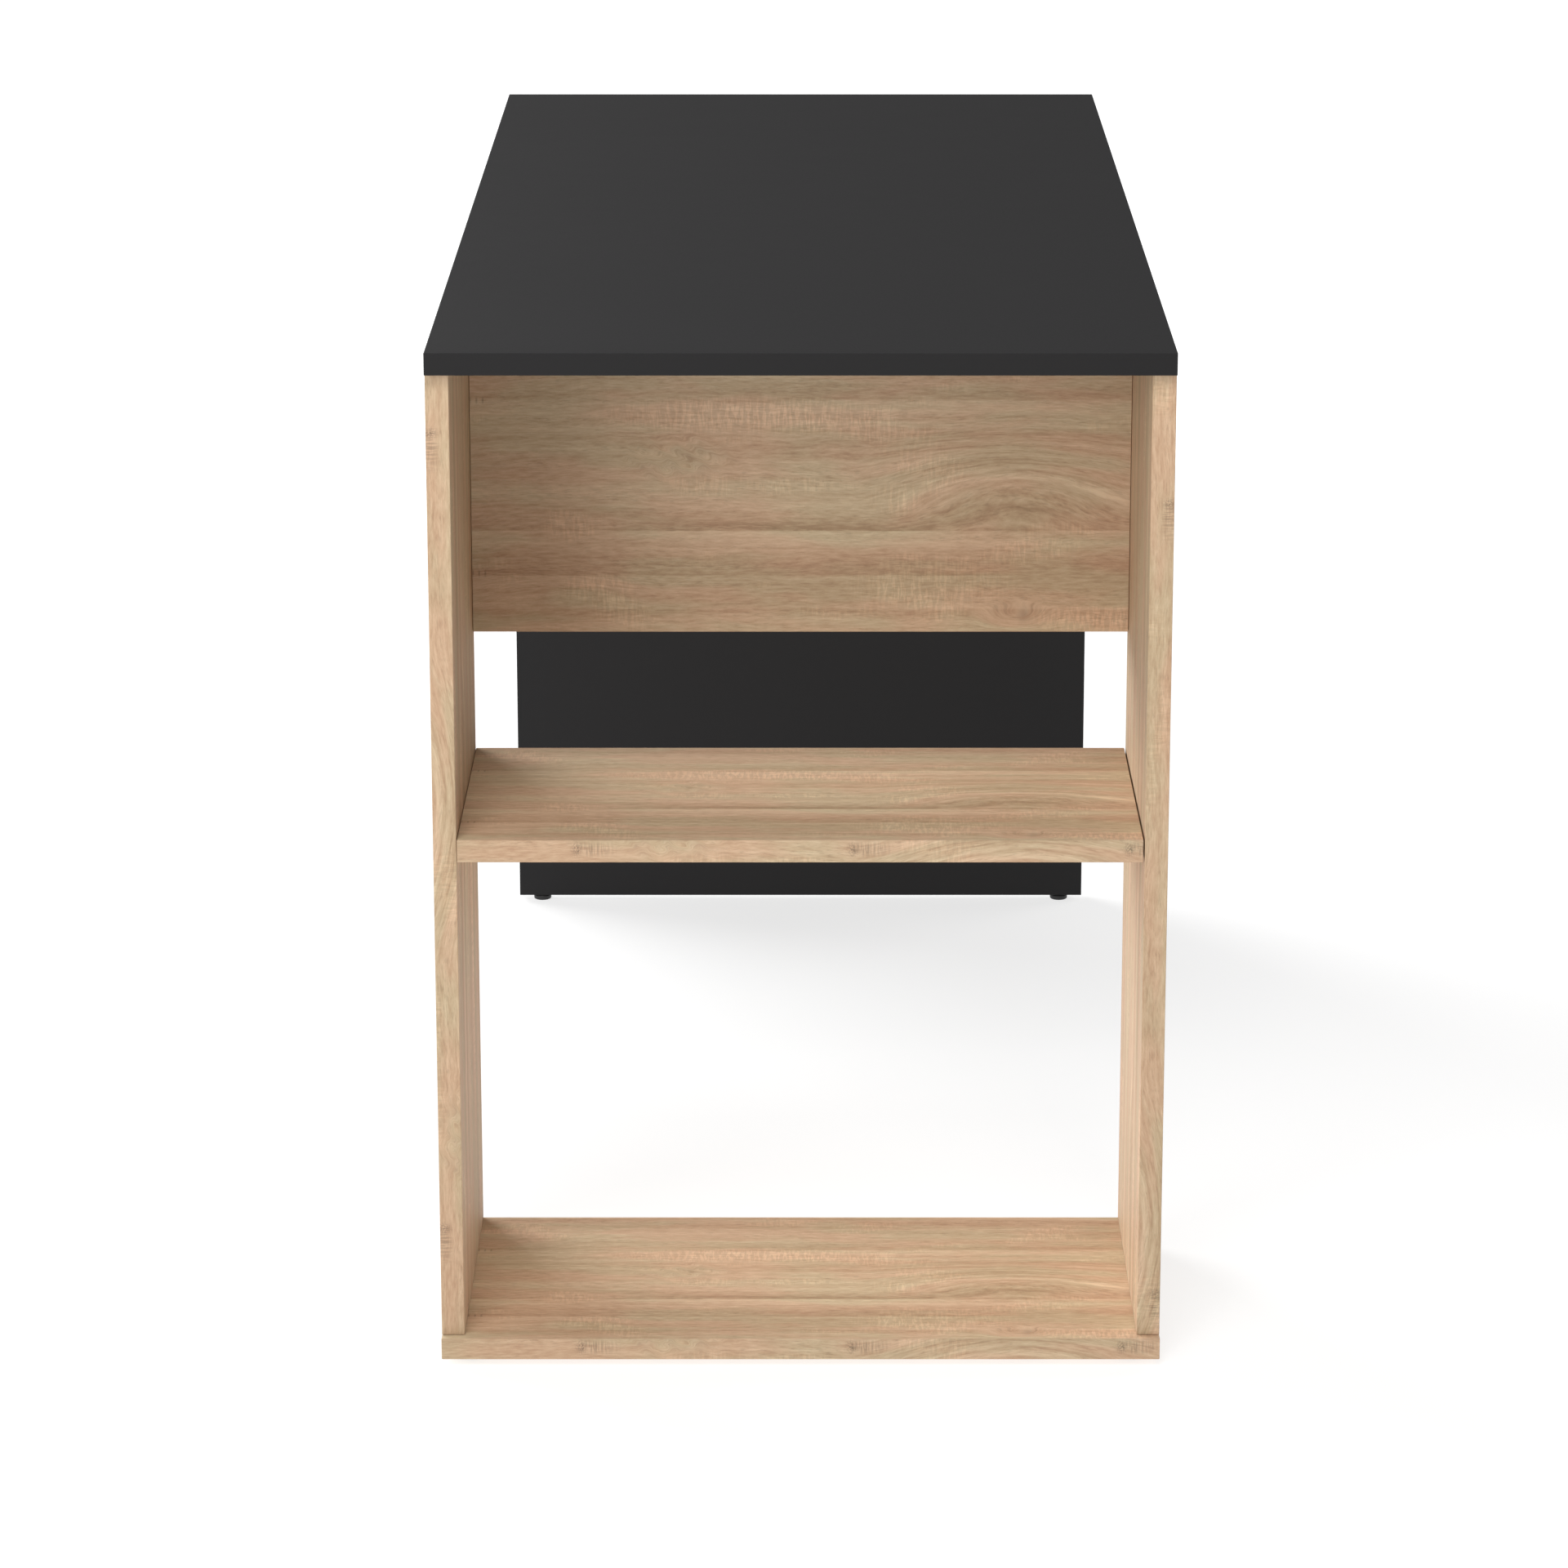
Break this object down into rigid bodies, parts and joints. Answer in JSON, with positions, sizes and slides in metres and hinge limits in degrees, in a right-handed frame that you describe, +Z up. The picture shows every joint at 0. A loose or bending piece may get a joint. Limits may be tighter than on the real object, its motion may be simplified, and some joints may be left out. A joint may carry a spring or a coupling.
{
  "type": "desk",
  "caption": "Narrow pedestal desk with a fixed rectangular top, an open shelf tower with a loose shelf at one end and a full-width leg panel at the other.",
  "frame": {"origin": "on the floor, under the middle of the desk's bounding box", "axes": "+Z up; +Y along the desk, from the open front of the shelf tower to the leg panel; +X across the desk, to the right for someone who faces the open front of the tower"},
  "size_m": [0.505, 1.1, 0.727],
  "materials": {
    "black_board": "matt anthracite melamine on particle board",
    "oak_board": "light sawn-oak melamine decor on particle board",
    "cam_zinc": "die-cast zinc, dull",
    "bolt_steel": "zinc-plated steel",
    "screw_steel": "zinc-plated steel",
    "pin_steel": "nickel-plated steel",
    "nail_steel": "bright steel",
    "dowel_beech": "plain beech",
    "glide_plastic": "black polyethylene"
  },
  "bodies": {
    "desk": {"base_board": "oak_board", "base_screw_back_left": "screw_steel", "base_screw_back_right": "screw_steel", "base_screw_front_left": "screw_steel", "base_screw_front_right": "screw_steel", "cam_bolt_leg_left": "bolt_steel", "cam_bolt_leg_right": "bolt_steel", "cam_bolt_modesty_leg": "bolt_steel", "cam_bolt_modesty_tower": "bolt_steel", "cam_bolt_top_left": "bolt_steel", "cam_bolt_top_right": "bolt_steel", "cam_bolt_tower_left": "bolt_steel", "cam_bolt_tower_right": "bolt_steel", "cam_lock_leg_left": "cam_zinc", "cam_lock_leg_right": "cam_zinc", "cam_lock_modesty_leg": "cam_zinc", "cam_lock_modesty_tower": "cam_zinc", "cam_lock_top_left": "cam_zinc", "cam_lock_top_right": "cam_zinc", "cam_lock_tower_left": "cam_zinc", "cam_lock_tower_right": "cam_zinc", "dowel_leg_left": "dowel_beech", "dowel_leg_right": "dowel_beech", "dowel_modesty_leg": "dowel_beech", "dowel_modesty_tower": "dowel_beech", "dowel_tower_left": "dowel_beech", "dowel_tower_right": "dowel_beech", "dowel_upright_back_left": "dowel_beech", "dowel_upright_back_right": "dowel_beech", "dowel_upright_front_left": "dowel_beech", "dowel_upright_front_right": "dowel_beech", "glide_back_left": "glide_plastic", "glide_back_right": "glide_plastic", "glide_front_left": "glide_plastic", "glide_front_right": "glide_plastic", "glide_leg_left": "glide_plastic", "glide_leg_right": "glide_plastic", "glide_nail_back_left": "nail_steel", "glide_nail_back_right": "nail_steel", "glide_nail_front_left": "nail_steel", "glide_nail_front_right": "nail_steel", "glide_nail_leg_left": "nail_steel", "glide_nail_leg_right": "nail_steel", "leg_panel": "black_board", "modesty_panel": "black_board", "shelf_pin_back_left": "pin_steel", "shelf_pin_back_right": "pin_steel", "shelf_pin_front_left": "pin_steel", "shelf_pin_front_right": "pin_steel", "table_top": "black_board", "tower_back_panel": "oak_board", "upright_left": "oak_board", "upright_right": "oak_board"},
    "shelf": {"loose_shelf": "oak_board"}
  },
  "joints": [
    {"name": "shelf_slide", "type": "slide", "parent": "desk", "child": "shelf", "axis": [0, -1, 0], "range_m": [-0.03, 0.03]}
  ]
}
